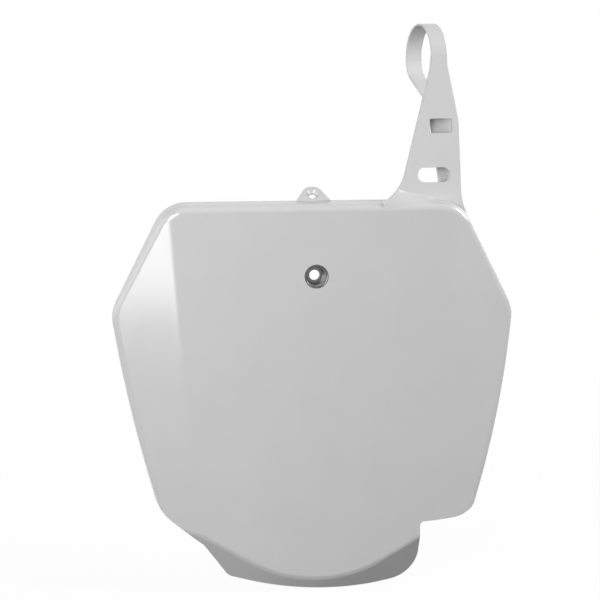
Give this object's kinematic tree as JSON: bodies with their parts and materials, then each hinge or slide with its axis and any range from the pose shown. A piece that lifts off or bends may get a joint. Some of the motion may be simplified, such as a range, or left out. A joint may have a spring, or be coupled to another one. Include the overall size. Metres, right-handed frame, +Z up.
{
  "type": "racing number board",
  "caption": "Thin moulded racing number board with a rolled rim, bent-back flanks, a turned-back chin, a sunk metal bolt cup, a top tab and a strap that loops round the handlebar.",
  "frame": {"origin": "on the bolt hole's axis, in the flat back of the bolt cup", "axes": "the face looks towards -Y, +X is to the right of someone who looks at the face, +Z is up"},
  "size_m": [0.2401, 0.061, 0.3362],
  "materials": {
    "white_plastic": "satin",
    "dark_steel": "polished"
  },
  "bodies": {
    "root": {"number_board": "white_plastic", "bolt_cup": "dark_steel"}
  },
  "joints": []
}
